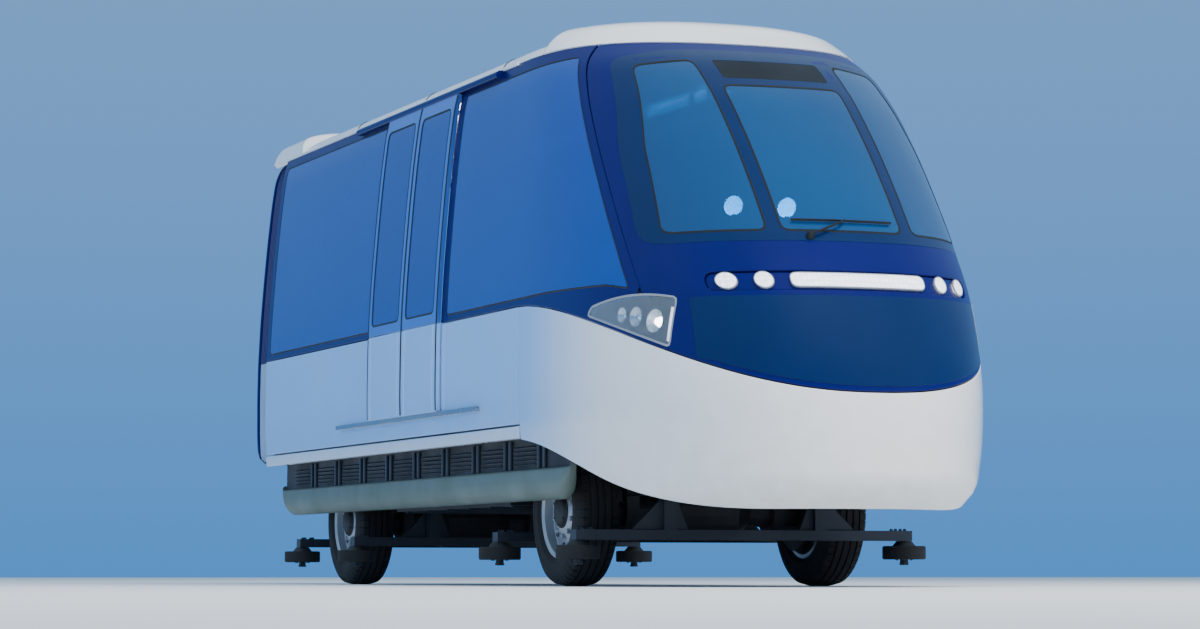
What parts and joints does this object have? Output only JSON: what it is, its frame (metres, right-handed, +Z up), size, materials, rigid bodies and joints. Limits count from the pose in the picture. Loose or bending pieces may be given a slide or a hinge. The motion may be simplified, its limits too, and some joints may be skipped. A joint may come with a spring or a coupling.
{
  "type": "monorail train car",
  "caption": "Lead car of a small rubber-tyred guideway train: raked glazed nose, sliding double doors, half gangway at the rear, steered bogies with guide wheels.",
  "frame": {"origin": "middle of the car's length and width, on the running surface that the tyres stand on", "axes": "+X towards the nose, +Y to the car's left, +Z up"},
  "size_m": [8.8, 2.412, 3.425],
  "materials": {
    "white_paint": "gloss white paint",
    "side_paint": "gloss pale blue paint",
    "navy_paint": "high gloss navy paint",
    "frame_paint": "satin dark grey paint",
    "rim_paint": "satin silver paint",
    "cast_iron": "machined and oiled",
    "blue_glass": "blue tinted glass",
    "screen_glass": "dark tinted glass",
    "lamp_lens": "clear lens over a bright reflector",
    "skirt_plastic": "moulded grey-green plastic",
    "grey_bellows": "coated fabric",
    "navy_bellows": "coated fabric",
    "seat_shell": "moulded seat shell",
    "console_plastic": "grained dark plastic",
    "tyre_rubber": "black rubber"
  },
  "bodies": {
    "body": {"underframe": "frame_paint", "battery_box": "frame_paint", "coupler": "cast_iron", "roof": "white_paint", "nose_mask": "navy_paint", "nose_bumper": "white_paint", "light_row": "lamp_lens", "end_wall": "side_paint", "gangway_frame": "navy_paint", "gangway_bellows_upper": "navy_bellows", "gangway_bellows_lower": "grey_bellows", "windscreen_centre": "screen_glass", "windscreen_right": "screen_glass", "windscreen_left": "screen_glass", "lower_side_right": "side_paint", "lower_side_left": "side_paint", "window_band_right": "navy_paint", "window_band_left": "navy_paint", "headlamp_right": "lamp_lens", "headlamp_left": "lamp_lens", "skirt_right": "skirt_plastic", "skirt_left": "skirt_plastic", "side_glass_right_rear": "blue_glass", "side_glass_right_front": "blue_glass", "side_glass_left_rear": "blue_glass", "side_glass_left_front": "blue_glass", "bench_right": "seat_shell", "bench_left": "seat_shell", "bench_front": "seat_shell", "console": "console_plastic"},
    "door_right_front": {"door_leaf_right_front": "navy_paint", "door_glass_right_front": "blue_glass"},
    "door_right_rear": {"door_leaf_right_rear": "navy_paint", "door_glass_right_rear": "blue_glass"},
    "door_left_front": {"door_leaf_left_front": "navy_paint", "door_glass_left_front": "blue_glass"},
    "door_left_rear": {"door_leaf_left_rear": "navy_paint", "door_glass_left_rear": "blue_glass"},
    "bogie_front": {"bogie_frame_front": "frame_paint", "axle_front": "cast_iron"},
    "bogie_rear": {"bogie_frame_rear": "frame_paint", "axle_rear": "cast_iron"},
    "wheel_front_right": {"rim_front_right": "rim_paint", "tyre_front_right": "tyre_rubber"},
    "wheel_front_left": {"rim_front_left": "rim_paint", "tyre_front_left": "tyre_rubber"},
    "wheel_rear_right": {"rim_rear_right": "rim_paint", "tyre_rear_right": "tyre_rubber"},
    "wheel_rear_left": {"rim_rear_left": "rim_paint", "tyre_rear_left": "tyre_rubber"},
    "guide_front_right_fore": {"guide_wheel_front_right_fore": "tyre_rubber"},
    "guide_front_right_aft": {"guide_wheel_front_right_aft": "tyre_rubber"},
    "guide_front_left_fore": {"guide_wheel_front_left_fore": "tyre_rubber"},
    "guide_front_left_aft": {"guide_wheel_front_left_aft": "tyre_rubber"},
    "guide_rear_right_fore": {"guide_wheel_rear_right_fore": "tyre_rubber"},
    "guide_rear_right_aft": {"guide_wheel_rear_right_aft": "tyre_rubber"},
    "guide_rear_left_fore": {"guide_wheel_rear_left_fore": "tyre_rubber"},
    "guide_rear_left_aft": {"guide_wheel_rear_left_aft": "tyre_rubber"}
  },
  "joints": [
    {"name": "door_right_front_slide", "type": "slide", "parent": "body", "child": "door_right_front", "axis": [1, 0, 0], "range_m": [0, 0.76]},
    {"name": "door_right_rear_slide", "type": "slide", "parent": "body", "child": "door_right_rear", "axis": [-1, 0, 0], "range_m": [0, 0.76]},
    {"name": "door_left_front_slide", "type": "slide", "parent": "body", "child": "door_left_front", "axis": [1, 0, 0], "range_m": [0, 0.76]},
    {"name": "door_left_rear_slide", "type": "slide", "parent": "body", "child": "door_left_rear", "axis": [-1, 0, 0], "range_m": [0, 0.76]},
    {"name": "bogie_front_yaw", "type": "hinge", "parent": "body", "child": "bogie_front", "pos_m": [1.8, 0, 0.84], "axis": [0, 0, 1], "range_deg": [-9, 9]},
    {"name": "bogie_rear_yaw", "type": "hinge", "parent": "body", "child": "bogie_rear", "pos_m": [-2.7, 0, 0.84], "axis": [0, 0, 1], "range_deg": [-9, 9]},
    {"name": "wheel_front_right_spin", "type": "hinge", "parent": "bogie_front", "child": "wheel_front_right", "pos_m": [1.8, -0.8, 0.45], "axis": [0, 1, 0], "continuous": true},
    {"name": "wheel_front_left_spin", "type": "hinge", "parent": "bogie_front", "child": "wheel_front_left", "pos_m": [1.8, 0.8, 0.45], "axis": [0, 1, 0], "continuous": true},
    {"name": "wheel_rear_right_spin", "type": "hinge", "parent": "bogie_rear", "child": "wheel_rear_right", "pos_m": [-2.7, -0.8, 0.45], "axis": [0, 1, 0], "continuous": true},
    {"name": "wheel_rear_left_spin", "type": "hinge", "parent": "bogie_rear", "child": "wheel_rear_left", "pos_m": [-2.7, 0.8, 0.45], "axis": [0, 1, 0], "continuous": true},
    {"name": "guide_front_right_fore_spin", "type": "hinge", "parent": "bogie_front", "child": "guide_front_right_fore", "pos_m": [2.5, -1.04, 0.2], "axis": [0, 0, 1], "continuous": true},
    {"name": "guide_front_right_aft_spin", "type": "hinge", "parent": "bogie_front", "child": "guide_front_right_aft", "pos_m": [1.1, -1.04, 0.2], "axis": [0, 0, 1], "continuous": true},
    {"name": "guide_front_left_fore_spin", "type": "hinge", "parent": "bogie_front", "child": "guide_front_left_fore", "pos_m": [2.5, 1.04, 0.2], "axis": [0, 0, 1], "continuous": true},
    {"name": "guide_front_left_aft_spin", "type": "hinge", "parent": "bogie_front", "child": "guide_front_left_aft", "pos_m": [1.1, 1.04, 0.2], "axis": [0, 0, 1], "continuous": true},
    {"name": "guide_rear_right_fore_spin", "type": "hinge", "parent": "bogie_rear", "child": "guide_rear_right_fore", "pos_m": [-2, -1.04, 0.2], "axis": [0, 0, 1], "continuous": true},
    {"name": "guide_rear_right_aft_spin", "type": "hinge", "parent": "bogie_rear", "child": "guide_rear_right_aft", "pos_m": [-3.4, -1.04, 0.2], "axis": [0, 0, 1], "continuous": true},
    {"name": "guide_rear_left_fore_spin", "type": "hinge", "parent": "bogie_rear", "child": "guide_rear_left_fore", "pos_m": [-2, 1.04, 0.2], "axis": [0, 0, 1], "continuous": true},
    {"name": "guide_rear_left_aft_spin", "type": "hinge", "parent": "bogie_rear", "child": "guide_rear_left_aft", "pos_m": [-3.4, 1.04, 0.2], "axis": [0, 0, 1], "continuous": true}
  ],
  "couplings": [
    {"joint": "door_right_rear_slide", "follows": "door_right_front_slide", "ratio": 1},
    {"joint": "door_left_rear_slide", "follows": "door_left_front_slide", "ratio": 1}
  ]
}
